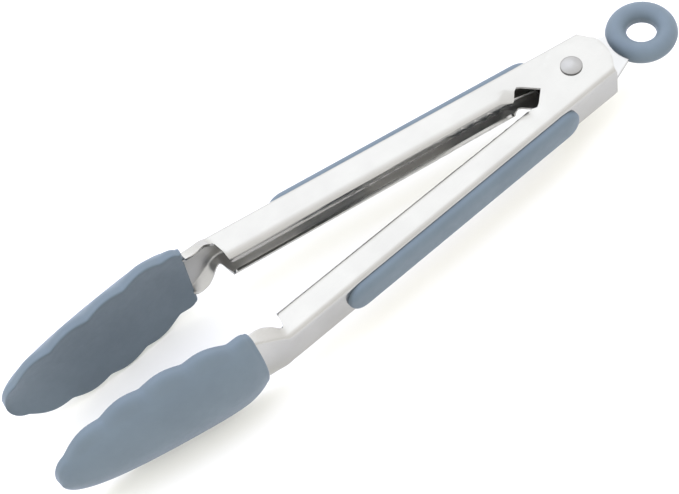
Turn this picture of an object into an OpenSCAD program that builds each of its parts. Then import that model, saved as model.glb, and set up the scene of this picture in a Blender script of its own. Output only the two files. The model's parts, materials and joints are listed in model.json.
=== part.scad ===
// Spring loaded kitchen tongs, lying on their side and fully open.
// Millimetres, +X towards the heads, +Z along the pivot, origin at the centre of the bounding box.
// Each arm is drawn in its own frame: u along the arm from the pivot, v outward from the centre line.

/* [Arms] */
// Length of one arm from the end of its web to the tip of its head
arm_length = 178; // [172:0.5:184]
// Distance the web runs behind the pivot
web_tail = 7.7; // [7:0.1:8.5]
// Distance from the centre line to the outer face of the web
web_v = 9.2; // [9:0.1:9.8]
// Extra depth of the channel at its head end
web_flare = 0.9; // [0:0.1:1.2]
// Half the height of the outer arm's channel
outer_half_height = 5.8; // [5.7:0.1:6.2]
// Thickness of the steel sheet
sheet = 0.7; // [0.6:0.05:0.75]
// Outer radius of the bends between web and flanges
bend_r = 1.5; // [1.2:0.1:2]
// Radius of the rolled lip along each flange
lip_r = 2.6; // [2:0.1:2.8]
// Distance from the centre line to the outer arm's rolled lips
outer_lip_v = 1.4; // [1:0.1:1.6]
// Distance from the centre line to the inner arm's rolled lips
inner_lip_v = 0.5; // [0.4:0.1:1.2]
// Where the rolled lips start, measured from the pivot
lip_start = 17.5; // [16.5:0.5:20]
// Where the flanges end and the neck starts
flange_end = 104.3; // [102:0.1:105.5]

/* [Motion] */
// Angle of each arm from the centre line when fully open
open_angle = 5.17; // [4.8:0.01:5.4]
// Travel of the pull tab from free to locked
lock_travel = 5; // [3:0.5:5.5]
// Clearance between faces that slide on each other
slide_gap = 0.1; // [0.05:0.05:0.15]
// Radial clearance of the rivet in the arms
rivet_gap = 0.05; // [0.02:0.01:0.1]

/* [Heads] */
// Distance from the pivot to the silicone butt
butt_u = 113.7; // [112.5:0.1:115]
// Half the width of the head at the bottom of the notches
head_half_width = 14.45; // [12:0.05:16]
// Height of the scallops above the notches
scallop = 1.5; // [0.5:0.1:2]
// Distance between the notches
notch_pitch = 11.6; // [11:0.1:12]
// First notch, measured from the pivot
first_notch = 119.6; // [118:0.1:121]
// Height of the domed back above the rim band
back_depth = 7.6; // [7:0.1:8.5]
// Distance by which the tips lean past the centre line
toe_in = 3.2; // [2.6:0.1:3.4]

/* [Grips] */
// End of the grip nearest the pivot
grip_from = 7.2; // [7:0.1:10]
// End of the grip nearest the head
grip_to = 87.1; // [84:0.1:92]
// Half the width of the outer arm's grip; the inner one is narrower, like its channel
grip_half_width = 4.4; // [4:0.1:4.8]
// Height of the grip above the web
grip_rise = 2.3; // [1.5:0.1:3]

/* [Pivot] */
// Radius of the rivet's shank
shank_r = 2; // [1.8:0.1:2.1]
// Radius of the rivet's domed head
rivet_head_r = 2.95; // [2.7:0.05:3.4]
// Outer radius of the spacer bush
bush_r = 2.9; // [2.7:0.1:3]
// Diameter of the spring wire
wire_d = 0.9; // [0.7:0.05:1]
// Length of the spring's legs
leg_length = 31; // [24:1:34]

/* [Lock and ring] */
// Thickness of the lock plate
plate_t = 1; // [0.8:0.1:1.1]
// Distance from the pivot to the centre of the pull ring
ring_x = 23.7; // [23:0.1:25]
// Radius of the ring's centre line
ring_r = 6.8; // [6.7:0.1:7.4]
// Radius of the ring's round section
ring_tube_r = 2.85; // [2.6:0.05:2.9]
// Radius of the flat land inside the ring
hang_hole_r = 4.05; // [4:0.05:4.2]

/* [Hidden] */
$fn = 64;
eps = 0.01;
steel = [0.78, 0.78, 0.77];
silicone = [0.47, 0.55, 0.60];
bend_steps = 6;

// Pivot and overall place
tip_u = arm_length - web_tail;
tip_x = tip_u * cos(open_angle) + toe_in * sin(open_angle);
ring_far_x = ring_x + ring_r + ring_tube_r;
pivot_x = (ring_far_x - tip_x) / 2;
inner_half_height = outer_half_height - sheet - slide_gap;
web_inner_v = web_v - sheet;

// Back of the web at a distance u from the pivot: the channel deepens towards the head
function web_at(u) = web_v + web_flare * min(1, max(0, u / flange_end));

// Pivot lobes of the flanges
lobe_r = 7.4;
tail_r = 11;
bore_r = shank_r + rivet_gap;
tail_corner_r = 1.2;
flange_stub = 0.5;

// Windows in the web that the grip is moulded through
window_half_height = 2.5;
windows = [[13, 35.5], [60, 82]];

// Neck and tongue, by distance from the pivot
neck_end = 160;
neck_stations = [0, 1.3, 3.3, 5.6, 7.8, 9.6, 10.6, 13.6, 28, 42, neck_end - flange_end];

function arc_points(c, r, from, to, n) =
    [for (i = [0 : n]) c + r * [cos(from + (to - from) * i / n), sin(from + (to - from) * i / n)]];

function reversed(list) = [for (i = [len(list) - 1 : -1 : 0]) list[i]];

// Mirror a list of [v, z] points to the other side of the mid plane, in reverse order
function flipped(list) = [for (p = reversed(list)) [p[0], -p[1]]];

// Closes a ring whose points face each other in pairs, first to last, with a strip of triangles
function cap_faces(count, start, turned) = [
    for (i = [0 : floor((count - 1) / 2) - 1])
        let (a = i, b = i + 1, c = count - 2 - i, d = count - 1 - i)
        for (face = b == c ? [[a, b, d]] : [[a, b, d], [b, c, d]])
            [for (k = turned ? reversed(face) : face) start + k]
];

// Solid between rings of equal length; rings run anticlockwise seen from the far end
module loft(rings) {
    count = len(rings[0]);
    last = len(rings) - 1;
    sides = [
        for (i = [0 : last - 1]) for (j = [0 : count - 1])
            let (k = (j + 1) % count)
            each [
                [i * count + j, (i + 1) * count + k, (i + 1) * count + j],
                [i * count + j, i * count + k, (i + 1) * count + k]
            ]
    ];
    near_cap = cap_faces(count, 0, true);
    far_cap = cap_faces(count, last * count, false);
    polyhedron(points = [for (r = rings) each r], faces = concat(sides, near_cap, far_cap));
}

// Place what is drawn in an arm's frame on the outer side
module on_outer() {
    translate([pivot_x, 0, 0])
        rotate([0, 0, open_angle])
            children();
}

// The same, mirrored to the inner arm's side
module on_inner() {
    translate([pivot_x, 0, 0])
        mirror([0, 1, 0])
            rotate([0, 0, open_angle])
                children();
}

// ---- Steel arm ----

// Distance of an arm's lips from the centre line, told by the half height of its channel
function lip_at(h) = h < outer_half_height ? inner_lip_v : outer_lip_v;

// Upper half of the channel's outer line, from the lip's edge to the web
function channel_half(h, inset, back_v) = concat(
    arc_points([lip_at(h) + lip_r, h - lip_r], lip_r - inset, 180, 90, bend_steps),
    arc_points([back_v - bend_r, h - bend_r], bend_r - inset, 90, 0, bend_steps)
);

// Upper half of the web's outer line, with a short stretch of flange
function web_half(h, inset, back_v) = concat(
    [[back_v - bend_r - flange_stub, h - inset]],
    arc_points([back_v - bend_r, h - bend_r], bend_r - inset, 90, 0, bend_steps)
);

// Inner line of the channel, run back from the lower lip to the upper one
function inner_back(inner) = concat([for (p = inner) [p[0], -p[1]]], reversed(inner));

// Closed ring at u through the sheet's outer line and its inner line
function sheet_ring(u, outer, inner) =
    [for (p = concat(outer, flipped(outer), inner_back(inner))) [u, p[0], p[1]]];

function channel_ring(u, h) =
    sheet_ring(u, channel_half(h, 0, web_at(u)), channel_half(h, sheet, web_at(u)));

function web_ring(u, h) =
    sheet_ring(u, web_half(h, 0, web_at(u)), web_half(h, sheet, web_at(u)));

// Flat part of a flange round the pivot, seen along the pivot
module lobe_outline(h) {
    flat_v = web_v - bend_r;
    polygon(concat(
        [[lip_start, web_at(lip_start) - bend_r], [0, flat_v], [-web_tail, flat_v]],
        arc_points([0, 0], tail_r, 180 - asin(flat_v / tail_r), 195, 10),
        [[-8.5, -4.6]],
        arc_points([0, 0], lobe_r, 222, 316, 16),
        [[10.2, -0.8], [14.3, 2.2], [lip_start, lip_at(h) + lip_r]]
    ));
}

// Points of the dished panel between a bend and its middle, set in by inset
function panel_points(back_v, tilt, flat, inset) = [
    for (part = [2 / 3, 1 / 3])
        let (turn = atan(tan(tilt) * part))
        [back_v - tan(tilt) * flat * part * part / 2, flat * part] - inset * [cos(turn), sin(turn)]
];

// Section of the neck: a dished panel that slopes by tilt where it bends down into the walls,
// which lean out by lean and end at [edge_v, w]
function neck_ring(u, w, edge_v, back_v, tilt, lean, r) =
    let (
        across = r * (cos(lean) - sin(tilt)),
        drop = r * (cos(tilt) - sin(lean)),
        level_width = w - across - tan(lean) * (back_v - drop - edge_v),
        flat = level_width / (1 - tan(lean) * tan(tilt) / 2),
        bend = [back_v - tan(tilt) * flat / 2 - r * cos(tilt), flat - r * sin(tilt)],
        edge = [edge_v, w],
        normal = [sin(lean), cos(lean)],
        outer = concat(
            [edge],
            arc_points(bend, r, 90 - lean, tilt, bend_steps),
            panel_points(back_v, tilt, flat, 0)
        ),
        inner = concat(
            [edge - sheet * normal],
            arc_points(bend, r - sheet, 90 - lean, tilt, bend_steps),
            panel_points(back_v, tilt, flat, sheet)
        )
    )
    sheet_ring(u, outer, inner);

// Neck and the tongue inside the head, as functions of the distance s past the flange end
function neck_width(s, h) = h + lookup(s, [
    [0, 0], [1.3, 0.7], [3.3, 2.8], [5.6, 3.6], [7.8, 3.85], [9.6, 3.55], [10.6, 2.6], [13.6, 1.2],
    [28, 2.2], [42, 0.8], [56, -2.2]
]);
function neck_edge(s) = lookup(s, [
    [0, 6.7], [1.3, 6.7], [3.3, 5.9], [5.6, 4.75], [7.8, 4.35], [9.6, 4.5], [10.6, 5.4], [13.6, 5.8],
    [28, 3], [42, 0.35], [56, -0.9]
]);
function neck_back(s) = web_at(flange_end) + lookup(s, [
    [0, 0], [3.3, -0.3], [6.3, -0.9], [9.6, -1.3], [13.6, -1.7], [28, -3.7], [42, -6.6], [56, -8.5]
]);
function neck_tilt(s) = lookup(s, [[0, 0], [3.3, 8], [6.3, 14.5], [9.6, 21], [13.6, 22], [28, 15]]);
function neck_lean(s) =
    lookup(s, [[0, 0], [1.3, 15], [3.3, 30], [6, 27], [7.8, 22], [9.6, 14], [13.6, 14], [28, 20]]);
function neck_bend(s) = lookup(s, [[0, bend_r], [6, 1.35], [13.6, 1.2]]);

module neck(h) {
    loft([
        for (s = neck_stations)
            neck_ring(
                flange_end + s, neck_width(s, h), neck_edge(s), neck_back(s),
                neck_tilt(s), neck_lean(s), neck_bend(s)
            )
    ]);
}

module web_window(from, to) {
    r = window_half_height;
    for (u = [from + r, to - r])
        translate([u, web_inner_v - 1, 0])
            rotate([-90, 0, 0])
                cylinder(r = r, h = 3);
    translate([from + r, web_inner_v - 1, -r])
        cube([to - from - 2 * r, 3, 2 * r]);
}

// Rounds the two corners at the end of the web
module tail_corners(h) {
    r = tail_corner_r;
    for (side = [0, 1])
        mirror([0, 0, side])
            translate([-web_tail, web_v - bend_r, h - r])
                difference() {
                    translate([-1, 0, 0])
                        cube([r + 1, bend_r + 1, r + 1]);
                    translate([r, -1, 0])
                        rotate([-90, 0, 0])
                            cylinder(r = r, h = bend_r + 3);
                }
}

module steel_arm(h) {
    difference() {
        union() {
            loft([channel_ring(lip_start, h), channel_ring(flange_end, h)]);
            loft([for (u = [-web_tail, 0, lip_start]) web_ring(u, h)]);
            for (z = [h - sheet, -h])
                translate([0, 0, z])
                    linear_extrude(sheet)
                        lobe_outline(h);
            neck(h);
        }
        tail_corners(h);
        for (w = windows)
            web_window(w[0], w[1]);
        translate([0, 0, -h - 1])
            cylinder(r = bore_r, h = 2 * h + 2);
    }
}

module outer_arm() {
    color(steel)
        on_outer()
            steel_arm(outer_half_height);
}

module inner_arm() {
    color(steel)
        on_inner()
            steel_arm(inner_half_height);
}

// ---- Silicone head ----

widest_u = 131;
butt_taper = 25.5;
tip_power = 2.35;
tip_bluntness = 0.46;
tip_half_width = 0.5;
butt_corner_r = 2.8;
butt_rim_v = 4.2;
band = 1.6;
dish = 1;
dome_power = 1.7;
dome_centre = 138.5;
dome_half_length = 32.4;
flute_from = 0.86;
inner_steps = 8;
dome_steps = 16;
head_steps = 38;

// Half width of the head at the bottom of the notches
function plain_width(u) =
    u < widest_u
        ? sqrt(1 - pow((widest_u - u) / butt_taper, 2)) * head_half_width - corner_loss(u)
        : pow(1 - min(1, pow((u - widest_u) / (tip_u - widest_u), tip_power)), tip_bluntness)
            * head_half_width;

// Width lost to the rounded corners at the butt
function corner_loss(u) =
    let (k = max(0, 1 - (u - butt_u) / butt_corner_r))
    butt_corner_r * (1 - sqrt(1 - k * k));

// Height of the scallops, which die out at the tip
function scallop_at(u) =
    scallop * abs(sin(180 * (u - first_notch) / notch_pitch)) * min(1, (tip_u - u) / 4);

// Plane of the rim: level at the butt, then leaning in towards the tip
function rim_v(u) = min(butt_rim_v, -toe_in + 7.4 * pow(abs(168 - u) / 48, 1.8));

function dome(u) = back_depth * sqrt(1 - pow((u - dome_centre) / dome_half_length, 2));

function head_ring(u) =
    let (
        plain = max(tip_half_width, plain_width(u)),
        w = plain + scallop_at(u),
        v0 = rim_v(u),
        v1 = v0 + band,
        face = [for (i = [0 : inner_steps])
            let (t = 1 - 2 * i / inner_steps)
            [u, v0 + dish * (1 - t * t), 0.96 * w * t]],
        back = [for (i = [0 : dome_steps])
            let (
                a = -90 + 180 * i / dome_steps,
                reach = pow(abs(sin(a)), 2 / dome_power),
                flute = max(0, (reach - flute_from) / (1 - flute_from))
            )
            [
                u,
                v1 + dome(u) * pow(cos(a), 2 / dome_power),
                sign(a) * reach * (plain + (w - plain) * flute)
            ]]
    )
    concat(reversed(face), reversed(back));

module silicone_head(h) {
    difference() {
        loft([
            for (i = [0 : head_steps])
                head_ring(butt_u + (tip_u - butt_u) * sin(90 * i / head_steps))
        ]);
        neck(h);
    }
}

module outer_head() {
    color(silicone)
        on_outer()
            silicone_head(outer_half_height);
}

module inner_head() {
    color(silicone)
        on_inner()
            silicone_head(inner_half_height);
}

// ---- Silicone grip ----

grip_end = 8;
grip_steps = 26;
grip_arc = 10;
anchor_rise = 0.2;
anchor_gap = 0.02;

// Fullness of the pad along its length, 0 at its ends and 1 between them
function fullness(u) =
    let (s = max(0, 1 - min(u - grip_from, grip_to - u) / grip_end))
    sqrt(max(0, 1 - s * s));

function grip_ring(u, half_width) =
    let (f = max(0.12, fullness(u)))
    [for (i = [grip_arc : -1 : 0])
        let (
            a = -90 + 180 * i / grip_arc,
            v = web_at(u) + grip_rise * sqrt(f) * pow(cos(a), 0.7),
            z = half_width * f * sign(a) * pow(abs(sin(a)), 0.8)
        )
        [u, v, z]];

// Stations crowd together towards the two ends
function grip_station(i) =
    let (mid = (grip_from + grip_to) / 2)
    mid + (grip_to - mid) * sin(-90 + 180 * i / grip_steps);

module grip_pad(half_width) {
    loft([for (i = [0 : grip_steps]) grip_ring(grip_station(i), half_width)]);
}

// Part of the pad that fills a window in the web
module grip_anchor(from, to) {
    r = window_half_height - anchor_gap;
    depth = sheet + anchor_rise + 0.5;
    base_v = web_at((from + to) / 2) - sheet - anchor_rise;
    for (u = [from + r + anchor_gap, to - r - anchor_gap])
        translate([u, base_v, 0])
            rotate([-90, 0, 0])
                cylinder(r = r, h = depth);
    translate([from + r, base_v, -r])
        cube([to - from - 2 * r, depth, 2 * r]);
}

module grip(h) {
    union() {
        grip_pad(grip_half_width * h / outer_half_height);
        for (w = windows)
            grip_anchor(w[0], w[1]);
    }
}

module outer_grip() {
    color(silicone)
        on_outer()
            grip(outer_half_height);
}

module inner_grip() {
    color(silicone)
        on_inner()
            grip(inner_half_height);
}

// ---- Pivot ----

rivet_dome = 1;
rivet_rim = 0.35;
formed_head_r = 2.7;

// Round head standing on z = 0
module rivet_head(r) {
    ball_r = (r * r + rivet_dome * rivet_dome) / (2 * rivet_dome);
    intersection() {
        cylinder(r = r, h = rivet_rim + rivet_dome);
        translate([0, 0, rivet_rim + rivet_dome - ball_r])
            sphere(r = ball_r);
    }
}

module pivot_rivet() {
    seat = outer_half_height + slide_gap;
    color(steel)
        translate([pivot_x, 0, 0]) {
            translate([0, 0, -seat - eps])
                cylinder(r = shank_r, h = 2 * seat + 2 * eps);
            translate([0, 0, seat])
                rivet_head(rivet_head_r);
            mirror([0, 0, 1])
                translate([0, 0, seat])
                    rivet_head(formed_head_r);
        }
}

module spacer_bush() {
    half = inner_half_height - sheet - slide_gap;
    color(steel)
        translate([pivot_x, 0, -half])
            difference() {
                cylinder(r = bush_r, h = 2 * half);
                translate([0, 0, -1])
                    cylinder(r = shank_r + rivet_gap, h = 2 * half + 2);
            }
}

// ---- Torsion spring ----

wire_sides = 8;
coil_r = bush_r + 0.2 + wire_d / 2;
coil_top = -plate_t / 2 - 0.25 - wire_d / 2;
coil_pitch = wire_d + 0.05;
coil_turns = 2;
turn_steps = 20;
// Direction of a leg in the world, so that its end lies on the web
leg_angle = open_angle + 8;
leg_start = 90 + leg_angle;
coil_sweep = 360 * coil_turns + 360 - 2 * leg_start;

function coil_point(t) =
    let (a = leg_start + coil_sweep * t)
    [coil_r * cos(a), coil_r * sin(a), coil_top - coil_pitch * coil_sweep / 360 * t];

spring_path =
    let (
        n = round(coil_sweep / 360 * turn_steps),
        first = coil_point(0),
        last = coil_point(1),
        out = leg_length * [cos(leg_angle), sin(leg_angle), 0],
        back = leg_length * [cos(leg_angle), -sin(leg_angle), 0]
    )
    concat(
        [first + out, first + out / 2],
        [for (i = [0 : n]) coil_point(i / n)],
        [last + back / 2, last + back]
    );

function unit(v) = v / norm(v);

// Ring of the wire at one point of the path, square to its run
function wire_ring(path, i) =
    let (
        ahead = path[min(i + 1, len(path) - 1)],
        behind = path[max(i - 1, 0)],
        run = unit(ahead - behind),
        side = unit(cross([0, 0, 1], run)),
        top = cross(run, side)
    )
    [for (j = [0 : wire_sides - 1])
        let (a = -360 * j / wire_sides)
        path[i] + wire_d / 2 * (cos(a) * side + sin(a) * top)];

module torsion_spring() {
    color(steel)
        translate([pivot_x, 0, 0])
            loft([for (i = [0 : len(spring_path) - 1]) wire_ring(spring_path, i)]);
}

// ---- Lock plate and ring ----

// Half the width that passes between the ends of the open webs
plate_half_width = 7.6;
shoulder_x = -9;
plate_nose_x = lock_travel + bush_r + slide_gap + 1.8;
eye_outer_r = 8.2;
eye_inner_r = 5.6;

module plate_outline() {
    half = [
        [plate_nose_x, 3.4], [plate_nose_x - 1.6, 5], [2, plate_half_width],
        [shoulder_x, plate_half_width], [-14.7, 5.2], [-17, 4.2]
    ];
    polygon(concat(half, [for (p = reversed(half)) [p[0], -p[1]]]));
}

module lock_plate() {
    slot_r = bush_r + slide_gap;
    color(steel)
        translate([pivot_x, 0, -plate_t / 2])
            difference() {
                union() {
                    linear_extrude(plate_t)
                        plate_outline();
                    translate([-ring_x, 0, 0])
                        cylinder(r = eye_outer_r, h = plate_t);
                }
                translate([-ring_x, 0, -1])
                    cylinder(r = eye_inner_r, h = plate_t + 2);
                for (x = [0, lock_travel])
                    translate([x, 0, -1])
                        cylinder(r = slot_r, h = plate_t + 2);
                translate([0, -slot_r, -1])
                    cube([lock_travel, 2 * slot_r, plate_t + 2]);
            }
}

// The ring without the steel eye inside it
module pull_ring() {
    color(silicone)
        translate([pivot_x, 0, 0])
            difference() {
                translate([-ring_x, 0, 0])
                    rotate_extrude()
                        intersection() {
                            translate([ring_r, 0])
                                circle(r = ring_tube_r);
                            translate([hang_hole_r, -ring_tube_r])
                                square([2 * ring_r, 2 * ring_tube_r]);
                        }
                translate([-ring_x, 0, -plate_t / 2])
                    difference() {
                        cylinder(r = eye_outer_r, h = plate_t);
                        translate([0, 0, -1])
                            cylinder(r = eye_inner_r, h = plate_t + 2);
                    }
                translate([0, 0, -plate_t / 2])
                    linear_extrude(plate_t)
                        plate_outline();
            }
}

outer_arm();
inner_arm();
outer_head();
inner_head();
outer_grip();
inner_grip();
pivot_rivet();
spacer_bush();
torsion_spring();
lock_plate();
pull_ring();
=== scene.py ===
"""Spring loaded kitchen tongs: the looks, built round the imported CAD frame.

Each arm is drawn in its own frame, in millimetres: u along the arm from the pivot, v outward from the
centre line, z along the pivot. to_world() turns that into the frame's metres, for either arm.
"""
import json
import math

import bpy
import numpy as np
from mathutils import Matrix, Vector
from mathutils.geometry import delaunay_2d_cdt


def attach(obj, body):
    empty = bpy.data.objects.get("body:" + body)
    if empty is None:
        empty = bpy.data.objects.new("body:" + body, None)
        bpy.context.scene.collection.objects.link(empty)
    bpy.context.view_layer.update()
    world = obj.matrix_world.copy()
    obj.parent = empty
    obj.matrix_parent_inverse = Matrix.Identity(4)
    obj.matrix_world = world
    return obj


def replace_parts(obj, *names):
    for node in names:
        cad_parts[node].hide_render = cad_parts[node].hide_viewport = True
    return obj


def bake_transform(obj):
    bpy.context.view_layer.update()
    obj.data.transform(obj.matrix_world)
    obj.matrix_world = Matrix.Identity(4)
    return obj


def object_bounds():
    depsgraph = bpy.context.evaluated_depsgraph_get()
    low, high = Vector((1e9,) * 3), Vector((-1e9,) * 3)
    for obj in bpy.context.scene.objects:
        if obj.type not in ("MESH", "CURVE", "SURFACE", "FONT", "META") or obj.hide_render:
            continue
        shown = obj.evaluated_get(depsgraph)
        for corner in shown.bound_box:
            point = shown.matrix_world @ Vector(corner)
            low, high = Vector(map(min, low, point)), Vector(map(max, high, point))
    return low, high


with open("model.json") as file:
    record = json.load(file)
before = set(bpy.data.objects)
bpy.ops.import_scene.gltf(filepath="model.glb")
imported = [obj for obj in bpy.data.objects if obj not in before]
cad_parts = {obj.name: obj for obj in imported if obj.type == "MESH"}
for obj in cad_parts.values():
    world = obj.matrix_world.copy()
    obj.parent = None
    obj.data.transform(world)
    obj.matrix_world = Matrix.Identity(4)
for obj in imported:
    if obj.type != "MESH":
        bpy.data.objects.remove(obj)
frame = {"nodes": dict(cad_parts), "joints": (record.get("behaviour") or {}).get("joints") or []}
cad_low, cad_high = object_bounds()

# ---- Driving sizes, in millimetres unless a comment says otherwise ----
MM = 0.001
JOINTS = {joint["name"]: joint for joint in frame["joints"]}
PIVOT = Vector(JOINTS["outer_squeeze"]["pos_m"])
OPEN_ANGLE = math.radians(5.17)
OUTER, INNER = 1, -1

# The arms: sheet thickness, the web's tail behind the pivot, its back at the pivot and how far that flares
SHEET = 0.7
WEB_TAIL = 7.7
WEB_V = 9.2
WEB_FLARE = 0.9
# Bend between web and flange, the rolled lip, and where along the arm the lip starts and the flanges end
BEND_R = 1.5
LIP_R = 2.6
LIP_START = 18.3
FLANGE_END = 104.3
# Half the width over the flanges, and the lip's edge, for each arm
HALF_HEIGHT = {OUTER: 5.8, INNER: 5.0}
LIP_V = {OUTER: 1.4, INNER: 0.5}
# The pivot lobe's two arcs, the rivet's bore, and the windows that hold the grips
LOBE_R = 7.4
TAIL_R = 11.0
BORE_R = 2.05
WINDOW_R = 2.5
WINDOWS = ((13.0, 35.5), (60.0, 82.0))
# Where the sheet ends, inside the head
SHEET_END = 117.6

# The heads: from butt to tip, their scalloped rim, their domed back and how far the rim leans in
BUTT_U = 113.7
TIP_U = 170.3
HEAD_HALF_WIDTH = 14.45
SCALLOP = 1.65
NOTCH_PITCH = 11.6
FIRST_NOTCH = 119.6
BACK_DEPTH = 7.6
TOE_IN = 3.2

# The grips
GRIP_FROM = 7.2
GRIP_TO = 87.1
GRIP_HALF_WIDTH = {OUTER: 4.4, INNER: 3.8}
GRIP_RISE = 2.3

# The ring: its distance behind the pivot, its own radius, its tube's and its hole's
RING_X = 23.7
RING_R = 6.8
RING_TUBE_R = 2.85
HANG_HOLE_R = 4.05

# The rivet's head and the height it sits at, and the spring
RIVET_HEAD_R = 2.95
RIVET_SEAT = 5.9
WIRE_R = 0.45
COIL_R = 3.55
LEG_LENGTH = 31.0


def to_world(u, v, z, side):
    """Points of one arm's frame as an array of world points, in metres."""
    x = PIVOT.x + MM * (u * math.cos(OPEN_ANGLE) - v * math.sin(OPEN_ANGLE))
    y = PIVOT.y + MM * side * (u * math.sin(OPEN_ANGLE) + v * math.cos(OPEN_ANGLE))
    return np.stack([x, y, PIVOT.z + MM * z], axis=-1)


def make_mesh(name, points, faces, material, body=None):
    """A smooth shaded mesh object, which rides on the body if one is named."""
    mesh = bpy.data.meshes.new(name)
    mesh.from_pydata([tuple(p) for p in points], [], [tuple(f) for f in faces])
    mesh.validate()
    mesh.update()
    mesh.polygons.foreach_set("use_smooth", [True] * len(mesh.polygons))
    obj = bpy.data.objects.new(name, mesh)
    bpy.context.scene.collection.objects.link(obj)
    mesh.materials.append(material)
    if body:
        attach(obj, body)
    return obj


def grid_faces(rows, count, wrap=False):
    """Quads between consecutive closed rows of count points; wrap joins the last row to the first."""
    faces = []
    for i in range(rows if wrap else rows - 1):
        this = i * count
        following = (i + 1) % rows * count
        for j in range(count):
            k = (j + 1) % count
            faces.append((this + j, this + k, following + k, following + j))
    return faces


def loft_faces(rows, count, flip=False):
    """Faces of a tube of closed rows with a cap at each end; flip turns them all round."""
    faces = grid_faces(rows, count)
    faces.append(tuple(reversed(range(count))))
    faces.append(tuple(range((rows - 1) * count, rows * count)))
    return [face[::-1] for face in faces] if flip else faces


def row_points(rows, side):
    """World points of an arm's sections, each given as u and the arrays of its v and z."""
    return np.concatenate([to_world(np.full(len(v), u), v, z, side) for u, v, z in rows])


def soft_edges(obj, width, angle):
    """A fine bevel along the edges sharper than the angle, in degrees, and even shading elsewhere."""
    edge = obj.modifiers.new("edge", "BEVEL")
    edge.width = width * MM
    edge.segments = 2
    edge.limit_method = "ANGLE"
    edge.angle_limit = math.radians(angle)
    normals = obj.modifiers.new("normals", "WEIGHTED_NORMAL")
    normals.keep_sharp = True


def smooth_curve(x, knots):
    """A curve without overshoot through the knots (monotone cubic), flat beyond them."""
    kx, ky = (np.array(column, float) for column in zip(*knots))
    step = np.diff(kx)
    slope = np.diff(ky) / step
    tangent = np.zeros(len(kx))
    for i in range(1, len(kx) - 1):
        if slope[i - 1] * slope[i] > 0:
            tangent[i] = 2 / (1 / slope[i - 1] + 1 / slope[i])
    x = np.clip(np.asarray(x, float), kx[0], kx[-1])
    i = np.clip(np.searchsorted(kx, x, side="right") - 1, 0, len(step) - 1)
    t = (x - kx[i]) / step[i]
    return (
        (1 + 2 * t) * (1 - t) ** 2 * ky[i]
        + t * (1 - t) ** 2 * step[i] * tangent[i]
        + t * t * (3 - 2 * t) * ky[i + 1]
        + t * t * (t - 1) * step[i] * tangent[i + 1]
    )


def smooth_step(x):
    """0 to 1 with a soft start and end."""
    t = np.clip(x, 0, 1)
    return t * t * (3 - 2 * t)


# ---- Materials ----
# Roughness of every noise, the span that most of its values lie in, and the Mix node's colour sockets
NOISE_ROUGHNESS = 0.55
NOISE_SPAN = (0.3, 0.7)
MIX_A = 6
MIX_B = 7
MIX_RESULT = 2


class Nodes:
    """Short calls for building a node material."""

    def __init__(self, name):
        self.material = bpy.data.materials.new(name)
        self.material.use_nodes = True
        self.tree = self.material.node_tree
        self.shader = self.tree.nodes["Principled BSDF"]

    def add(self, kind, **values):
        """A node with its settings and inputs given by name."""
        node = self.tree.nodes.new(kind)
        for key, value in values.items():
            if hasattr(node, key) and key not in node.inputs:
                setattr(node, key, value)
            else:
                node.inputs[key].default_value = value
        return node

    def link(self, source, target):
        self.tree.links.new(source, target)

    def place(self, turn_z=0.0, stretch=(1, 1, 1)):
        """Object coordinates, turned about z and stretched: they ride with the piece."""
        coordinates = self.add("ShaderNodeTexCoord")
        turned = self.add("ShaderNodeMapping", vector_type="TEXTURE")
        turned.inputs["Rotation"].default_value = (0, 0, turn_z)
        stretched = self.add("ShaderNodeMapping")
        stretched.inputs["Scale"].default_value = stretch
        self.link(coordinates.outputs["Object"], turned.inputs["Vector"])
        self.link(turned.outputs["Vector"], stretched.inputs["Vector"])
        return stretched.outputs["Vector"]

    def noise(self, vector, scale, detail):
        node = self.add("ShaderNodeTexNoise", Scale=scale, Detail=detail, Roughness=NOISE_ROUGHNESS)
        self.link(vector, node.inputs["Vector"])
        return node.outputs["Fac"]

    def ramp(self, source, low, high, to_low=0.0, to_high=1.0):
        node = self.add("ShaderNodeMapRange")
        for key, value in (("From Min", low), ("From Max", high), ("To Min", to_low), ("To Max", to_high)):
            node.inputs[key].default_value = value
        self.link(source, node.inputs["Value"])
        return node.outputs["Result"]

    def combine(self, operation, first, second):
        node = self.add("ShaderNodeMath", operation=operation)
        self.link(first, node.inputs[0])
        self.link(second, node.inputs[1])
        return node.outputs["Value"]

    def mix_color(self, factor, first, second):
        """From the first colour to the second, each a fixed colour or a node's output."""
        node = self.add("ShaderNodeMix", data_type="RGBA")
        for color, socket in ((first, node.inputs[MIX_A]), (second, node.inputs[MIX_B])):
            if isinstance(color, tuple):
                socket.default_value = (*color, 1)
            else:
                self.link(color, socket)
        self.link(factor, node.inputs["Factor"])
        return node.outputs[MIX_RESULT]

    def shade(self, values):
        """Even values, set on the shader's own sockets."""
        for socket, value in values.items():
            self.shader.inputs[socket].default_value = value

    def bump(self, height, distance, strength, normal=None):
        node = self.add("ShaderNodeBump", Strength=strength, Distance=distance)
        self.link(height, node.inputs["Height"])
        if normal:
            self.link(normal, node.inputs["Normal"])
        return node.outputs["Normal"]


STEEL = (0.413, 0.409, 0.398)
# Painted light: the much paler steel painted along the inside of each arm's channel, standing in for light
# reflected into it
PAINTED_LIGHT_INSIDE_STEEL = (0.78, 0.775, 0.76)
PLATE_STEEL = (0.43, 0.43, 0.43)
RIVET_STEEL = (0.33, 0.33, 0.332)
WIRE_STEEL = (0.92, 0.92, 0.92)
SILICONE = (0.105, 0.135, 0.147)
SILICONE_SHEEN = {
    "Specular IOR Level": 0.65,
    "Specular Tint": (0.6, 0.68, 1.0, 1.0),
    "Sheen Weight": 0.16,
    "Sheen Roughness": 0.4,
    "Sheen Tint": (0.62, 0.68, 1.0, 1.0),
}
# Roughness of the steel, from its smoothest to its dullest patch
BRUSHED = (0.16, 0.26)
DULL = (0.3, 0.42)
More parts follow.
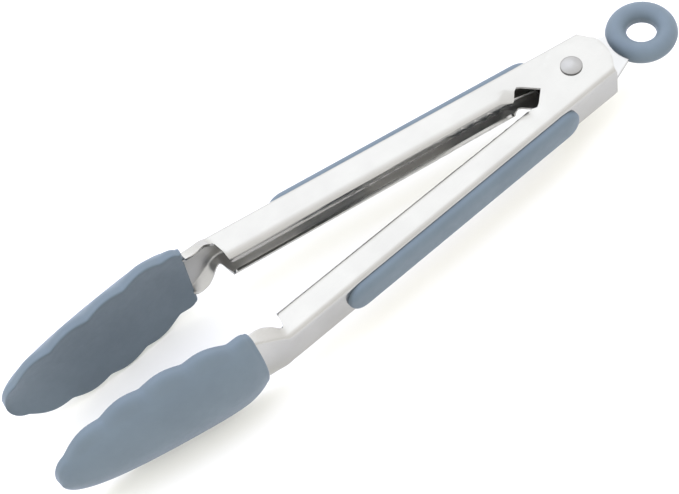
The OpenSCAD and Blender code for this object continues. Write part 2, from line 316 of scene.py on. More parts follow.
# How the brushed grain and the scratches are squeezed along x, y and z, and how far the scratches slant
GRAIN_SQUEEZE = (25, 900, 900)
SCRATCH_SQUEEZE = (40, 2600, 2600)
SCRATCH_SLANT = 0.06
# Where the painted light on the inside of a channel fades in behind the pivot, and out at the flanges' end
CHANNEL_FADE_IN = (14, 24)
CHANNEL_FADE_OUT = (98, 104)


def scaled(color, factor):
    return tuple(min(1.0, part * factor) for part in color)


def outside_painted_light(n, turn_z):
    """0 along an arm's channel, where the inside is painted paler as painted light, and 1 near the pivot and
    past the flanges.
    """
    split = n.add("ShaderNodeSeparateXYZ")
    n.link(n.place(turn_z), split.inputs["Vector"])
    pivot_x = PIVOT.x * math.cos(OPEN_ANGLE)
    start_low, start_high = (pivot_x + MM * u for u in CHANNEL_FADE_IN)
    end_low, end_high = (pivot_x + MM * u for u in CHANNEL_FADE_OUT)
    before = n.ramp(split.outputs["X"], start_low, start_high, to_low=1.0, to_high=0.0)
    past = n.ramp(split.outputs["X"], end_low, end_high)
    return n.combine("MAXIMUM", past, before)


def steel_material(name, turn_z, color=STEEL, rough=BRUSHED, grain=0.07, inside=False):
    """Brushed stainless steel whose grain runs along the arm, with fine scratches and smudges.
    On the inside of an arm the channel is painted paler than the neck: painted light, standing in for light
    reflected into the channel."""
    n = Nodes(name)
    fine = n.noise(n.place(turn_z, GRAIN_SQUEEZE), scale=9.0, detail=5.0)
    smudge = n.noise(n.place(turn_z), scale=90.0, detail=3.0)
    scratch = n.noise(n.place(turn_z + SCRATCH_SLANT, SCRATCH_SQUEEZE), scale=3.0, detail=2.0)
    scratches = n.ramp(scratch, 0.64, 0.74)
    tint = n.mix_color(n.ramp(smudge, *NOISE_SPAN), color, scaled(color, 0.93))
    # Painted light: along the channel the inside gets the paler painted steel, fading out near the pivot and
    # past the flanges
    if inside:
        tint = n.mix_color(outside_painted_light(n, turn_z), PAINTED_LIGHT_INSIDE_STEEL, tint)
    n.link(tint, n.shader.inputs["Base Color"])
    brushed = n.ramp(fine, *NOISE_SPAN, to_low=rough[0], to_high=rough[1])
    scratched = n.ramp(scratches, 0.0, 1.0, to_high=0.12)
    n.link(n.combine("ADD", brushed, scratched), n.shader.inputs["Roughness"])
    first = n.bump(fine, distance=0.00002, strength=grain)
    n.link(n.bump(scratches, distance=0.00001, strength=0.12, normal=first), n.shader.inputs["Normal"])
    n.shade({"Metallic": 1.0})
    return n.material


def polished_material(name, color, rough):
    """Polished steel with faint wear, for the rivet, the bush and the wire."""
    n = Nodes(name)
    place = n.place()
    wear = n.noise(place, scale=900.0, detail=4.0)
    patches = n.noise(place, scale=250.0, detail=2.0)
    n.link(n.ramp(wear, 0.35, 0.7, to_low=rough, to_high=rough + 0.16), n.shader.inputs["Roughness"])
    tint = n.mix_color(n.ramp(patches, 0.35, 0.65), color, scaled(color, 0.9))
    n.link(tint, n.shader.inputs["Base Color"])
    n.link(n.bump(wear, distance=0.00002, strength=0.3), n.shader.inputs["Normal"])
    n.shade({"Metallic": 1.0})
    return n.material


def silicone_material(name, color):
    """Matt moulded silicone: fine skin grain, slight colour drift and a soft sheen."""
    n = Nodes(name)
    place = n.place()
    drift = n.noise(place, scale=70.0, detail=3.0)
    grain = n.noise(place, scale=5200.0, detail=2.0)
    ripple = n.noise(place, scale=420.0, detail=3.0)
    tint = n.mix_color(n.ramp(drift, *NOISE_SPAN), scaled(color, 0.93), scaled(color, 1.06))
    n.link(tint, n.shader.inputs["Base Color"])
    n.link(n.ramp(ripple, *NOISE_SPAN, to_low=0.5, to_high=0.62), n.shader.inputs["Roughness"])
    first = n.bump(grain, distance=0.00004, strength=0.25)
    n.link(n.bump(ripple, distance=0.00006, strength=0.2, normal=first), n.shader.inputs["Normal"])
    n.shade(SILICONE_SHEEN)
    return n.material


outer_steel = steel_material("outer_steel", OPEN_ANGLE)
inner_steel = steel_material("inner_steel", -OPEN_ANGLE)
# The arms' inner faces: duller steel, with painted light along the channel
outer_inside_painted_light = steel_material("outer_inside_painted_light", OPEN_ANGLE, rough=DULL, grain=0.1, inside=True)
inner_inside_painted_light = steel_material("inner_inside_painted_light", -OPEN_ANGLE, rough=DULL, grain=0.1, inside=True)
plate_steel = steel_material("plate_steel", 0.0, color=PLATE_STEEL)
rivet_steel = polished_material("rivet_steel", RIVET_STEEL, rough=0.07)
wire_steel = polished_material("wire_steel", WIRE_STEEL, rough=0.14)
silicone = silicone_material("silicone", SILICONE)


# ---- Steel arms: a flat blank cut to shape, then bent like the real sheet ----
# Past the flanges the web turns into a shallow dish with short leaning walls. Each table gives one measure
# of the section by distance from the flanges' end; NECK_TILT and NECK_LEAN are in degrees.
NECK_WIDTH = (
    (0, 0), (1.3, 0.7), (3.3, 2.8), (5.6, 3.6), (7.8, 3.85),
    (9.4, 3.7), (9.9, 3.3), (10.6, 2.6), (13.6, 1.2),
)
NECK_EDGE = (
    (0, 6.7), (1.3, 6.7), (3.3, 5.9), (5.6, 4.75), (7.8, 4.35),
    (9.4, 4.3), (9.9, 4.8), (10.7, 5.4), (13.6, 5.8),
)
NECK_BACK = ((0, 0), (3.3, -0.3), (6.3, -0.9), (9.6, -1.3), (13.6, -1.7))
NECK_TILT = ((0, 0), (3.3, 8), (6.3, 14.5), (9.6, 21), (13.6, 22))
NECK_LEAN = ((0, 0), (1.3, 15), (3.3, 30), (6, 27), (7.8, 22), (9.6, 14), (13.6, 14))
NECK_BEND = ((0, BEND_R), (6, 1.35), (13.6, 1.2))

# Parts of the blank's outline, given point by point. On the flange, as (u, v): the step between the lobe's
# two arcs, and the crotch in front of the lobe.
LOBE_STEP_IN = ((-9.9, -3.6), (-8.9, -4.6), (-7.4, -5.2))
CROTCH = ((8.0, -3.1), (10.2, -0.8), (12.3, 1.0), (14.2, 2.6), (15.2, 3.1), (16.3, 2.3))
# Where the lobe's two arcs run, in degrees round the pivot
TAIL_ARC_END = 193
LOBE_ARC = (226, 314)
# The lip's first and last points: u, or distance past the flange's end, and how much narrower it is there
LIP_RISE = ((17.5, 1.0), (LIP_START, 0.25))
LIP_FALL = ((-1.6, 0.15), (-1.25, 0.6), (-1.0, 1.6))
# The flange's rounded end, as distance past its end and v
FLANGE_CORNER = ((-0.6, 3.4), (-0.1, 5.4), (0.15, 6.3), (0.6, 6.85))
# The foot of the neck's edge, past the flange's end, and how much narrower the blank is there
NECK_FOOT = 1.2
NECK_FOOT_CUT = 0.05

# Steps between the blank's points round the lobes, along the channel, up its flanges, and along the neck,
# points across half the web, a bend and the lip, and how far all of them stay from an edge
LOBE_STEP = 1.1
CHANNEL_STEP = 4.0
FLANGE_STEP = 0.9
NECK_STEP = 0.65
WEB_POINTS = 7
BEND_POINTS = 9
ROLL_POINTS = 8
EDGE_CLEARANCE = 0.28
# The sheet isn't rolled behind this u
ROLL_FROM = LIP_START - 4


def web_at(u):
    """Back of the web: the channel deepens towards the head."""
    return WEB_V + WEB_FLARE * np.clip(np.asarray(u, float) / FLANGE_END, 0, 1)


def arm_section(u, side):
    """Section of the sheet at each u: half width of the web or panel, bend radius, angle at the panel's
    end, angle of the wall, back of the web and free edge."""
    s = np.clip(np.asarray(u, float) - FLANGE_END, 0, None)
    lean = np.radians(smooth_curve(s, NECK_LEAN))
    tilt = np.radians(smooth_curve(s, NECK_TILT))
    r = smooth_curve(s, NECK_BEND)
    back = web_at(u) + smooth_curve(s, NECK_BACK)
    width = HALF_HEIGHT[side] + smooth_curve(s, NECK_WIDTH)
    edge = smooth_curve(s, NECK_EDGE)
    across = r * (np.cos(lean) - np.sin(tilt))
    drop = r * (np.cos(tilt) - np.sin(lean))
    flat = (width - across - np.tan(lean) * (back - drop - edge)) / (1 - np.tan(lean) * np.tan(tilt) / 2)
    return flat, r, tilt, math.pi / 2 - lean, back, edge


def fold(u, s, side):
    """Where a point of the flat blank ends up: s runs across the sheet from the web's middle."""
    flat, r, tilt, turn, back, _ = arm_section(u, side)
    a = np.abs(s)
    bend = tilt + np.clip((a - flat) / r, 0, turn - tilt)
    past = np.clip(a - flat - r * (turn - tilt), 0, None)
    length = flange_length(u, side)
    rolled = (u >= ROLL_FROM) & (u <= FLANGE_END)
    wall = np.where(rolled, np.minimum(past, length), past)
    roll = np.where(rolled, np.clip((past - length) / LIP_R, 0, math.pi / 2), 0)
    inner = np.minimum(a, flat)
    dish = np.tan(tilt) * inner * inner / (2 * flat)
    v = back - dish - r * (np.cos(tilt) - np.cos(bend)) - wall * np.sin(turn) - LIP_R * np.sin(roll)
    z = inner + r * (np.sin(bend) - np.sin(tilt)) + wall * np.cos(turn) - LIP_R * (1 - np.cos(roll))
    return v, z * np.sign(s)


def flange_length(u, side):
    """Flat width of a flange, from the web's bend to the rolled lip."""
    return web_at(u) - BEND_R - LIP_V[side] - LIP_R


def flange_s(v, side, u=0.0):
    """Blank coordinate of a point of the flat flange at v."""
    return HALF_HEIGHT[side] - BEND_R + BEND_R * math.pi / 2 + (float(web_at(u)) - BEND_R - v)


def lip_s(u, side):
    """Blank coordinate of the rolled lip's edge."""
    return flange_s(LIP_V[side] + LIP_R, side, u) + LIP_R * math.pi / 2


def neck_s(u, side):
    """Blank coordinate of the neck's free edge."""
    flat, r, tilt, turn, back, edge = arm_section(u, side)
    wall_top = back - np.tan(tilt) * flat / 2 - r * (np.cos(tilt) - np.cos(turn))
    return float(flat + r * (turn - tilt) + (wall_top - edge) / np.sin(turn))


def arc(radius, start, end, count, u=0.0, s=0.0):
    """Points along an arc about (u, s), between two angles in degrees."""
    angles = np.radians(np.linspace(start, end, count))
    return [(u + radius * math.cos(a), s + radius * math.sin(a)) for a in angles]


def stations(low, high, step):
    """Even places from low to high, about a step apart."""
    return list(np.linspace(low, high, max(2, round((high - low) / step) + 1)))


def tail_outline(side):
    """The blank's corner where the web's tail meets the pivot lobe."""
    flat = HALF_HEIGHT[side] - BEND_R
    bend_end = flange_s(WEB_V - BEND_R, side)
    return [(-WEB_TAIL, flat - 0.4), (-WEB_TAIL + 0.08, flat + 0.2), (-WEB_TAIL + 0.3, bend_end - 1.2)]


def lobe_outline(side):
    """Round the pivot lobe and down into the crotch."""
    start = 180 - math.degrees(math.asin((WEB_V - BEND_R) / TAIL_R))
    points = arc(TAIL_R, start, TAIL_ARC_END, 22) + list(LOBE_STEP_IN)
    points += arc(LOBE_R, *LOBE_ARC, 24) + list(CROTCH)
    return [(u, flange_s(v, side, u)) for u, v in points]


def lip_outline(side):
    """Along the rolled lip."""
    points = [(u, lip_s(u, side) - back) for u, back in LIP_RISE]
    points += [(u, lip_s(u, side)) for u in stations(LIP_START + 0.4, FLANGE_END - 2.2, CHANNEL_STEP)]
    points += [(FLANGE_END + past, lip_s(FLANGE_END + past, side) - back) for past, back in LIP_FALL]
    return points


def neck_outline(side):
    """Up the flange's end and along the neck's free edge."""
    points = [(FLANGE_END + past, flange_s(v, side, FLANGE_END + past)) for past, v in FLANGE_CORNER]
    foot = FLANGE_END + NECK_FOOT
    points.append((foot, neck_s(foot, side) - NECK_FOOT_CUT))
    points += [(u, neck_s(u, side)) for u in stations(FLANGE_END + 1.7, SHEET_END, 0.6)]
    return points


def window_loop(low, high):
    """A window of the web: a slot with round ends."""
    front = arc(WINDOW_R, -90, 90, 13, u=high - WINDOW_R)
    return front + arc(WINDOW_R, 90, 270, 13, u=low + WINDOW_R)


def inside(points, loop):
    """Which of the points lie inside a closed loop."""
    x, y = points[:, 0], points[:, 1]
    result = np.zeros(len(points), bool)
    for (x0, y0), (x1, y1) in zip(loop, loop[1:] + loop[:1]):
        if y0 != y1:
            crosses = (y0 > y) != (y1 > y)
            result ^= crosses & (x < (x1 - x0) * (y - y0) / (y1 - y0) + x0)
    return result


def distance_to(points, loop):
    """Distance of each point from a loop's edges."""
    best = np.full(len(points), 1e9)
    for a, b in zip(loop, loop[1:] + loop[:1]):
        a, b = np.array(a), np.array(b)
        d = b - a
        t = np.clip(((points - a) @ d) / (d @ d), 0, 1)
        best = np.minimum(best, np.linalg.norm(points - a - t[:, None] * d, axis=1))
    return best


def grid_column(u, side):
    """Where the grid's points lie across half the blank at u, from the web's middle out."""
    flat, r, tilt, turn, _, _ = (float(value) for value in arm_section(u, side))
    bend_end = flat + r * (turn - tilt)
    roll_start = flange_s(LIP_V[side] + LIP_R, side, u)
    across = list(np.linspace(0, flat, WEB_POINTS)) + list(np.linspace(flat, bend_end, BEND_POINTS)[1:])
    across += stations(bend_end + 0.5, roll_start, FLANGE_STEP)
    across += list(roll_start + LIP_R * math.pi / 2 * np.linspace(1 / ROLL_POINTS, 1, ROLL_POINTS))
    across += stations(flange_s(0.2, side), flange_s(-7, side), LOBE_STEP)
    if LIP_START - 5 < u < LIP_START + 1:
        across = [s for s in across if s < roll_start - 0.2]
    return across


def blank_grid(side):
    """Points over the blank, denser across the bends and along the neck."""
    along = stations(-TAIL_R, LIP_START, LOBE_STEP)
    along += stations(LIP_START + 3, FLANGE_END - 2, CHANNEL_STEP)
    along += stations(FLANGE_END - 1.4, SHEET_END - 0.6, NECK_STEP)
    points = []
    for u in along:
        across = grid_column(u, side)
        points += [(u, s) for s in across] + [(u, -s) for s in across if s > 0]
    return np.array(points)


def on_sheet(points, outline, holes):
    """Which of the points lie inside the outline and outside the holes."""
    result = inside(points, outline)
    for hole in holes:
        result &= ~inside(points, hole)
    return result


def cut_blank(side):
    """The flat blank with its bores and windows, as points and triangles."""
    half = tail_outline(side) + lobe_outline(side) + lip_outline(side) + neck_outline(side)
    outline = half + [(u, -s) for u, s in reversed(half)]
    holes = [arc(BORE_R, 0, 360, 29, s=sign * flange_s(0, side))[:-1] for sign in (1, -1)]
    holes += [window_loop(low, high) for low, high in WINDOWS]
    grid = blank_grid(side)
    keep = on_sheet(grid, outline, holes)
    points, edges = [], []
    for loop in [outline] + holes:
        keep &= distance_to(grid, loop) > EDGE_CLEARANCE
        first = len(points)
        points += loop
        edges += [(first + i, first + (i + 1) % len(loop)) for i in range(len(loop))]
    points += [tuple(p) for p in grid[keep]]
    merge_distance = 1e-5
    cut, _, faces, *_ = delaunay_2d_cdt([Vector(p) for p in points], edges, [], 0, merge_distance)
    cut = np.array([tuple(p) for p in cut])
    middles = np.array([cut[list(face)].mean(0) for face in faces])
    good = on_sheet(middles, outline, holes)
    return cut, [face for face, ok in zip(faces, good) if ok]


def steel_arm(name, side, body, material, inside_painted_light_material):
    """An arm of folded sheet, with duller steel on the inside whose channel is painted paler as painted
    light.
    """
    blank, faces = cut_blank(side)
    u = blank[:, 0]
    v, z = fold(u, blank[:, 1], side)
    if side == OUTER:
        faces = [face[::-1] for face in faces]
    obj = make_mesh(name, to_world(u, v, z, side), faces, material)
    obj.data.materials.append(inside_painted_light_material)
    thick = obj.modifiers.new("thickness", "SOLIDIFY")
    thick.thickness = SHEET * MM
    thick.offset = -1
    thick.use_even_offset = True
    thick.material_offset = 1
    soft_edges(obj, width=0.09, angle=55)
    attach(obj, body)
    return obj


# ---- Silicone heads ----
WIDEST_U = 131.0
# Behind its widest place a head tapers to the butt, with round corners and a round edge
BUTT_TAPER = 25.5
BUTT_CORNER_R = 2.8
BUTT_ROUND = 0.9
BUTT_ROUND_RINGS = 7
BUTT_INSETS = (4.9, 3.9, 2.9, 1.9)
# In front of it the powers shape the tip, which closes over the last rings
TIP_POWER = 2.35
TIP_FULLNESS = 0.46
TIP_INSETS = (0.25, 0.6, 1.0)
TIP_BULGE = 0.03
LAST_U = TIP_U - 0.015
# The scallops' notches: how round they are, how much that lifts them, and the length they fade out over
NOTCH_ROUND = 0.012
NOTCH_LIFT = 0.11
SCALLOP_FADE = 4.0
# The rim is lowest near the tip, rises towards the butt and blends softly into its level part there
BUTT_RIM_V = 4.2
RIM_LOW_U = 168
RIM_LENGTH = 48
RIM_RISE = 7.4
RIM_POWER = 1.8
RIM_BLEND = 0.35
# The band round the rim, its edge, and the dish of the face inside it; both shrink where the head is narrow
BAND = 1.6
EDGE_R = 0.5
EDGE_SHARE = 0.4
DISH = 1.0
DISH_FULL_WIDTH = 8
# The domed back, and where across it the scallops' flutes begin
DOME_MIDDLE = 138.5
DOME_HALF_LENGTH = 32.4
DOME_POWER = 1.7
FLUTE_FROM = 0.84
# Sections along a head, how much they crowd towards its tip, and points across the face, edge and back
HEAD_SECTIONS = 150
TIP_CROWDING = 0.985
FACE_POINTS = 28
EDGE_POINTS = 6
BACK_POINTS = 80


def head_envelope(u):
    """Half width of the head at the bottom of its notches."""
    to_tip = np.clip((u - WIDEST_U) / (TIP_U - WIDEST_U), 0, 1)
    to_butt = (WIDEST_U - u) / BUTT_TAPER
    corner = np.clip(1 - (u - BUTT_U) / BUTT_CORNER_R, 0, 1)
    tip_side = HEAD_HALF_WIDTH * (1 - to_tip ** TIP_POWER) ** TIP_FULLNESS
    butt_side = HEAD_HALF_WIDTH * np.sqrt(np.clip(1 - to_butt ** 2, 0, 1))
    butt_side -= BUTT_CORNER_R * (1 - np.sqrt(1 - corner * corner))
    return np.where(u < WIDEST_U, butt_side, tip_side)


def scallops(u):
    """Height of the scallops along the rim: round crests between narrow notches."""
    wave = np.abs(np.sin(math.pi * (u - FIRST_NOTCH) / NOTCH_PITCH))
    rounded = np.sqrt(wave * wave + NOTCH_ROUND) - NOTCH_LIFT
    return SCALLOP * rounded * np.sqrt(np.clip((TIP_U - u) / SCALLOP_FADE, 0, 1))


def rim_v(u):
    """Height of the rim: level at the butt, then leaning in towards the tip."""
    lean = -TOE_IN + RIM_RISE * (np.abs(RIM_LOW_U - u) / RIM_LENGTH) ** RIM_POWER
    return -np.log(np.exp(-lean / RIM_BLEND) + math.exp(-BUTT_RIM_V / RIM_BLEND)) * RIM_BLEND


def dome_height(u):
    """Height of the back over the band: half an ellipse from butt to tip."""
    return BACK_DEPTH * np.sqrt(np.clip(1 - ((u - DOME_MIDDLE) / DOME_HALF_LENGTH) ** 2, 0, 1))


def head_ring(u):
    """One closed section of the head, as arrays of v and z."""
    w0, bump = float(head_envelope(u)), float(scallops(u))
    w = w0 + bump
    v0 = float(rim_v(u))
    edge = min(EDGE_R, EDGE_SHARE * w)
    t = np.linspace(-1, 1, FACE_POINTS)
    face_v = v0 + DISH * (1 - t * t) * min(1.0, w / DISH_FULL_WIDTH)
    face_z = (w - edge) * t
    corner = np.linspace(0, math.pi / 2, EDGE_POINTS + 1)[1:]
    corner_v = v0 + edge * (1 - np.cos(corner))
    corner_z = w - edge + edge * np.sin(corner)
    a = np.linspace(math.pi / 2, -math.pi / 2, BACK_POINTS)
    lift = np.cos(a).clip(0) ** (2 / DOME_POWER)
    reach = np.sign(a) * np.abs(np.sin(a)) ** (2 / DOME_POWER)
    fade = smooth_step((np.abs(reach) - FLUTE_FROM) / (1 - FLUTE_FROM))
    back_v = v0 + BAND + float(dome_height(u)) * lift
    back_z = (w0 + bump * fade) * reach
    v = np.concatenate([face_v, corner_v, back_v, corner_v[::-1]])
    z = np.concatenate([face_z, corner_z, back_z, -corner_z[::-1]])
    return v, z


def shrink(ring, inset):
    """A ring pulled in by inset on every side, about its middle."""
    v, z = ring
    mid = (v.max() + v.min()) / 2
    half_v = (v.max() - v.min()) / 2
    least = 0.02
    return mid + (v - mid) * max(least, 1 - inset / half_v), z * max(least, 1 - inset / z.max())


def head_rows():
    """A head's sections: the flat butt, its rounded edge, the body and the closed tip."""
    begin = BUTT_U + BUTT_ROUND
    butt = head_ring(begin)
    tip = head_ring(LAST_U)
    quarter = math.pi / 2 * TIP_CROWDING
    rows = [(BUTT_U, *shrink(butt, inset)) for inset in BUTT_INSETS]
    for angle in np.linspace(0, math.pi / 2, BUTT_ROUND_RINGS):
        inset = BUTT_ROUND * (1 - math.sin(angle))
        rows.append((BUTT_U + BUTT_ROUND * (1 - math.cos(angle)), *shrink(butt, inset)))
    for t in np.linspace(0, 1, HEAD_SECTIONS)[1:]:
        u = begin + (TIP_U - begin) * math.sin(quarter * t) / math.sin(quarter)
        rows.append((u, *head_ring(min(u, LAST_U))))
    rows += [(TIP_U + TIP_BULGE * inset, *shrink(tip, inset)) for inset in TIP_INSETS]
    return rows


def silicone_head(name, node, side, body):
    rows = head_rows()
    faces = loft_faces(len(rows), len(rows[0][1]), flip=side == INNER)
    obj = make_mesh(name, row_points(rows, side), faces, silicone, body)
    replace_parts(obj, node)
    return obj


# ---- Silicone grips ----
# Each end is rounded over GRIP_END; the powers shape the end's outline, its fall and the round shoulders
GRIP_END = 5.0
GRIP_END_POWER = 2.2
GRIP_FALL_POWER = 0.6
GRIP_SHOULDER_POWER = 2 / 3
GRIP_LEAST_RISE = 0.05
GRIP_LEAST_WIDTH = 0.03
GRIP_SINK = 0.05
GRIP_SECTIONS = 110
GRIP_POINTS = 48
# The plugs moulded through the web's windows: their fit, how far they stand out inside, and their chamfer
PLUG_FIT = 0.99
PLUG_STAND = 0.2
PLUG_CHAMFER = 0.15
PLUG_FACE = 0.93
PLUG_ROOT = 0.3


def grip_row(u, side):
    """A section of the pad: a flat top with round shoulders, closed just under the web's surface."""
    web = float(web_at(u))
    s = max(0.0, 1 - min(u - GRIP_FROM, GRIP_TO - u) / GRIP_END)
    full = math.sqrt(max(0.0, 1 - s ** GRIP_END_POWER))
    a = np.linspace(-math.pi / 2, math.pi / 2, GRIP_POINTS)
    height = GRIP_RISE * max(full, GRIP_LEAST_RISE) ** GRIP_FALL_POWER
    width = GRIP_HALF_WIDTH[side] * max(full, GRIP_LEAST_WIDTH)
    rise = height * np.cos(a).clip(0) ** GRIP_SHOULDER_POWER
    z = width * np.sign(a) * np.abs(np.sin(a)) ** GRIP_SHOULDER_POWER
    return u, np.append(web + rise, [web - GRIP_SINK] * 2), np.append(z, [z[-1], z[0]])


def window_plug(low, high, side):
    """Points of the plug in one window, as three loops, and how many a loop has."""
    rim = np.array(window_loop(low, high))
    u = rim[:, 0]
    z = rim[:, 1] * PLUG_FIT
    web = web_at(u)
    face = web - SHEET - PLUG_STAND
    loops = ((web + PLUG_ROOT, z), (face + PLUG_CHAMFER, z), (face, z * PLUG_FACE))
    return np.concatenate([to_world(u, v, across, side) for v, across in loops]), len(rim)


def silicone_grip(name, node, side, body):
    middle = (GRIP_FROM + GRIP_TO) / 2
    turns = np.linspace(-math.pi / 2, math.pi / 2, GRIP_SECTIONS)
    rows = [grip_row(middle + (GRIP_TO - middle) * math.sin(t), side) for t in turns]
    points = row_points(rows, side)
    faces = loft_faces(len(rows), len(rows[0][1]), flip=side == OUTER)
    for low, high in WINDOWS:
        plug, count = window_plug(low, high, side)
        first = len(points)
        points = np.concatenate([points, plug])
        faces += [tuple(first + i for i in face) for face in loft_faces(3, count, flip=side == INNER)]
    obj = make_mesh(name, points, faces, silicone, body)
    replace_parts(obj, node)
    return obj


# ---- Pivot, spring, lock and ring ----
# The rivet's formed tail, its shank, and its heads' dome, rim and the bevel of that rim
RIVET_TAIL_R = 2.7
RIVET_SHANK_R = 2.0
RIVET_DOME = 1.0
RIVET_RIM = 0.35
RIVET_BEVEL = 0.12
RIVET_POINTS = 96
# The fine mould seam round the ring: its height, and its width as an angle round the tube
SEAM_HEIGHT = 0.06
SEAM_WIDTH = 0.05
RING_SECTIONS = 72
RING_POINTS = 128
# Points round a wire, and how thin it gets at its ends
WIRE_POINTS = 16
WIRE_END = 0.55
# The spring's coil hangs under the lock plate's lower face, and its legs spread wider than the arms
PLATE_HALF = 0.5
COIL_GAP = 0.25
TURN_GAP = 0.05
LEG_SPREAD = math.radians(8)
COIL_POINTS = 150
LEG_POINTS = 40
# Steps of the coil that each leg's root runs along with it
LEG_OVERLAP = 4


def turned(profile, count, x=0.0):
    """Points of a surface turned about an upright axis at x from the pivot, from its (radius, z) profile."""
    angles = np.linspace(0, 2 * math.pi, count, endpoint=False)
    rings = []
    for radius, z in profile:
        ring = np.stack([x + radius * np.cos(angles), radius * np.sin(angles), np.full(count, z)], axis=-1)
        rings.append(ring * MM + np.array(PIVOT))
    return np.concatenate(rings)


def rivet_head(radius):
    """Profile of a domed head with a thin rim, from its top to its seat."""
    rim_z = RIVET_SEAT + RIVET_RIM
    ball = (radius * radius + RIVET_DOME * RIVET_DOME) / (2 * RIVET_DOME)
    angles = np.linspace(0.02, math.asin((radius - RIVET_BEVEL) / ball), 14)
    cap = [(ball * math.sin(a), rim_z + RIVET_DOME - ball * (1 - math.cos(a))) for a in angles]
    rim = [(radius - 0.03, rim_z - 0.02), (radius, rim_z - RIVET_BEVEL)]
    return cap + rim + [(radius, RIVET_SEAT + RIVET_BEVEL), (radius - 0.1, RIVET_SEAT)]


def rivet():
    """Rivet: shank, domed head with a thin rim, and a smaller formed head below."""
    shank = [(RIVET_SHANK_R, RIVET_SEAT), (RIVET_SHANK_R, -RIVET_SEAT)]
    tail = [(radius, -z) for radius, z in reversed(rivet_head(RIVET_TAIL_R))]
    profile = rivet_head(RIVET_HEAD_R) + shank + tail
    faces = loft_faces(len(profile), RIVET_POINTS, flip=True)
    obj = make_mesh("rivet", turned(profile, RIVET_POINTS), faces, rivet_steel, "pivot")
    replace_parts(obj, "pivot_rivet")


def pull_ring():
    """Silicone ring with a flat land inside its hole and a fine mould seam round its outside."""
    section = []
    for a in np.linspace(-math.pi, math.pi, RING_SECTIONS, endpoint=False):
        seam = SEAM_HEIGHT * math.exp(-((a / SEAM_WIDTH) ** 2))
        radius = RING_R + (RING_TUBE_R + seam) * math.cos(a)
        section.append((max(radius, HANG_HOLE_R), RING_TUBE_R * math.sin(a)))
    faces = grid_faces(RING_SECTIONS, RING_POINTS, wrap=True)
    obj = make_mesh("ring", turned(section, RING_POINTS, x=-RING_X), faces, silicone, "lock")
    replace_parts(obj, "pull_ring")


def wire(name, path, material):
    """A round wire along the path, a little thinner at its two ends."""
    path = np.array(path)
    run = np.gradient(path, axis=0)
    run /= np.linalg.norm(run, axis=1)[:, None]
    side = np.cross([0, 0, 1.0], run)
    side /= np.linalg.norm(side, axis=1)[:, None]
    top = np.cross(run, side)
    angles = np.linspace(0, 2 * math.pi, WIRE_POINTS, endpoint=False)[:, None]
    radii = np.full(len(path), WIRE_R)
    radii[0] *= WIRE_END
    radii[-1] *= WIRE_END
    rings = [p + r * (np.cos(angles) * s + np.sin(angles) * t) for p, r, s, t in zip(path, radii, side, top)]
    points = np.concatenate(rings) * MM + np.array(PIVOT)
    return make_mesh(name, points, loft_faces(len(path), WIRE_POINTS), material)


def coil_point(t):
    """A point of the coil's centre line, from t = 0 at the outer arm's leg to 1 at the inner arm's."""
    start = math.pi / 2 + OPEN_ANGLE + LEG_SPREAD
    sweep = 6 * math.pi - 2 * start
    angle = start + sweep * t
    top = -PLATE_HALF - COIL_GAP - WIRE_R
    drop = (2 * WIRE_R + TURN_GAP) * sweep / (2 * math.pi)
    return np.array([COIL_R * math.cos(angle), COIL_R * math.sin(angle), top - drop * t])


def spring_leg(name, side, at, turn):
    """A straight leg from the end of the coil along an arm's channel."""
    angle = OPEN_ANGLE + LEG_SPREAD
    run = np.array([math.cos(angle), side * math.sin(angle), 0])
    root = [coil_point(at + turn * k / COIL_POINTS) for k in range(LEG_OVERLAP, -1, -1)]
    leg = [root[-1] + run * d for d in np.linspace(0, LEG_LENGTH, LEG_POINTS)[1:]]
    obj = wire(name, root + leg, wire_steel)
    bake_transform(obj)


def torsion_spring():
    """Coil on the bush, and one leg lying in each arm's channel."""
    coil = wire("spring_coil", [coil_point(t) for t in np.linspace(0, 1, COIL_POINTS)], wire_steel)
    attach(coil, "pivot")
    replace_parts(coil, "torsion_spring")
    spring_leg("spring_leg_outer", OUTER, at=0.0, turn=1)
    spring_leg("spring_leg_inner", INNER, at=1.0, turn=-1)


def dress_cad(node, material):
    """A carried over CAD node with soft edges and a better material."""
    obj = frame["nodes"][node]
    obj.data.materials.clear()
    obj.data.materials.append(material)
    weld = obj.modifiers.new("weld", "WELD")
    weld.merge_threshold = 0.002 * MM
    soft_edges(obj, width=0.1, angle=40)
    obj.data.polygons.foreach_set("use_smooth", [True] * len(obj.data.polygons))


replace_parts(steel_arm("arm_sheet_outer", OUTER, "outer_jaw", outer_steel, outer_inside_painted_light), "outer_arm")
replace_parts(steel_arm("arm_sheet_inner", INNER, "inner_jaw", inner_steel, inner_inside_painted_light), "inner_arm")
silicone_head("head_outer", "outer_head", OUTER, "outer_jaw")
silicone_head("head_inner", "inner_head", INNER, "inner_jaw")
silicone_grip("grip_outer", "outer_grip", OUTER, "outer_jaw")
silicone_grip("grip_inner", "inner_grip", INNER, "inner_jaw")
rivet()
pull_ring()
torsion_spring()
dress_cad("lock_plate", plate_steel)
dress_cad("spacer_bush", rivet_steel)


# ---- Floor, light and camera; places and lengths are in metres ----
FLOOR_SIZE = 6
FLOOR_GAP = 0.0005
FLOOR_LOOK = {
    "Base Color": (0.72, 0.71, 0.665, 1),
    "Roughness": 0.9,
    "Emission Color": (1, 0.995, 0.97, 1),
    "Emission Strength": 0.16,
}


def floor():
    """A plain pale floor just under the part, with a faint glow that softens the shadows."""
    n = Nodes("floor")
    n.shade(FLOOR_LOOK)
    bpy.ops.mesh.primitive_plane_add(size=FLOOR_SIZE, location=(0, 0, cad_low.z - FLOOR_GAP))
    plane = bpy.context.object
    plane.name = "floor"
    plane.data.materials.append(n.material)


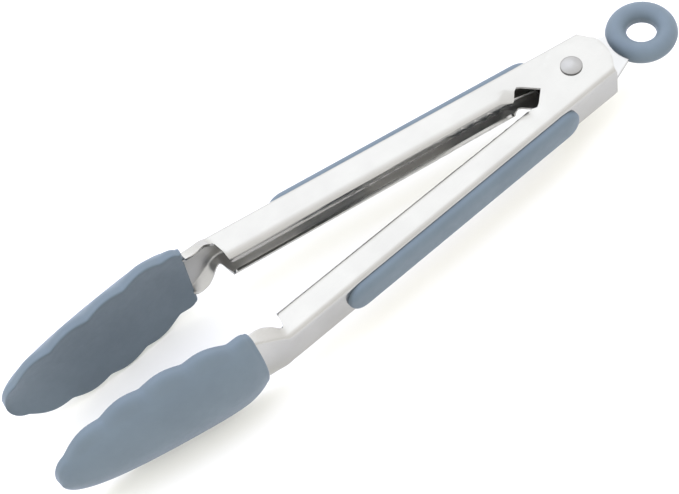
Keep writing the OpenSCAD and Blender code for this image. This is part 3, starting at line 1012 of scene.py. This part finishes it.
# The sky is a light tent: the height of each stop is the cosine from the tent's axis, which leans towards -y
SKY_STRENGTH = 3.08
SKY_LEAN = math.radians(40)
SKY = (
    (0.0, (0.49, 0.485, 0.475)),
    (0.34, (0.55, 0.545, 0.54)),
    (0.6, (0.605, 0.605, 0.605)),
    (0.75, (0.65, 0.655, 0.66)),
    (0.9, (0.73, 0.74, 0.755)),
    (1.0, (0.78, 0.79, 0.815)),
)


def sky():
    """Brightest round the leaning axis and dimmer down to the horizon."""
    world = bpy.data.worlds.new("studio")
    world.use_nodes = True
    bpy.context.scene.world = world
    tree = world.node_tree
    background = tree.nodes["Background"]
    coordinates = tree.nodes.new("ShaderNodeTexCoord")
    height = tree.nodes.new("ShaderNodeVectorMath")
    height.operation = "DOT_PRODUCT"
    height.inputs[1].default_value = (0, -math.sin(SKY_LEAN), math.cos(SKY_LEAN))
    ramp = tree.nodes.new("ShaderNodeValToRGB")
    tree.links.new(coordinates.outputs["Generated"], height.inputs[0])
    tree.links.new(height.outputs["Value"], ramp.inputs["Fac"])
    tree.links.new(ramp.outputs["Color"], background.inputs["Color"])
    stops = ramp.color_ramp.elements
    while len(stops) < len(SKY):
        stops.new(0.5)
    for stop, (place, color) in zip(stops, SKY):
        stop.position = place
        stop.color = (*color, 1)
    background.inputs["Strength"].default_value = SKY_STRENGTH


SOFTBOX_PLACE = (0.05, -0.2, 0.9)
SOFTBOX_SIZE = 0.7
SOFTBOX_POWER = 4.0
SOFTBOX_COLOR = (0.38, 0.46, 1.0)


def softbox():
    """A cool square light high overhead, which lights matt surfaces and leaves no reflection."""
    light = bpy.data.lights.new("overhead", "AREA")
    light.shape = "RECTANGLE"
    light.size = SOFTBOX_SIZE
    light.size_y = SOFTBOX_SIZE
    light.energy = SOFTBOX_POWER
    light.color = SOFTBOX_COLOR
    lamp = bpy.data.objects.new("overhead", light)
    lamp.location = SOFTBOX_PLACE
    lamp.rotation_euler = (-Vector(SOFTBOX_PLACE)).to_track_quat("-Z", "Y").to_euler()
    lamp.visible_glossy = False
    bpy.context.scene.collection.objects.link(lamp)


# The camera's azimuth, elevation and roll in degrees, and its aim from the pivot
CAMERA_ANGLES = (156.163, 57.401, -13.666)
CAMERA_DISTANCE = 0.51408
CAMERA_AIM = (0.07795, 0.00268, 0)
# Lens and sensor width, in millimetres
CAMERA_LENS = 106.728
CAMERA_SENSOR = 36
CAMERA_NEAR = 0.01


def camera():
    """A perspective camera above the outer arm's side."""
    azimuth, elevation, roll = (math.radians(angle) for angle in CAMERA_ANGLES)
    level = math.cos(elevation)
    back = Vector((math.sin(azimuth) * level, -math.cos(azimuth) * level, math.sin(elevation)))
    right = (-back).cross(Vector((0, 0, 1))).normalized()
    up = right.cross(-back)
    rolled_right = math.cos(roll) * right + math.sin(roll) * up
    rolled_up = -math.sin(roll) * right + math.cos(roll) * up
    data = bpy.data.cameras.new("camera")
    data.sensor_width = CAMERA_SENSOR
    data.lens = CAMERA_LENS
    data.clip_start = CAMERA_NEAR
    view = bpy.data.objects.new("camera", data)
    bpy.context.scene.collection.objects.link(view)
    turn = Matrix((rolled_right, rolled_up, back)).transposed()
    place = PIVOT + Vector(CAMERA_AIM) + CAMERA_DISTANCE * back
    view.matrix_world = Matrix.Translation(place) @ turn.to_4x4()
    bpy.context.scene.camera = view


floor()
sky()
softbox()
camera()
bpy.context.scene.view_settings.view_transform = "Standard"
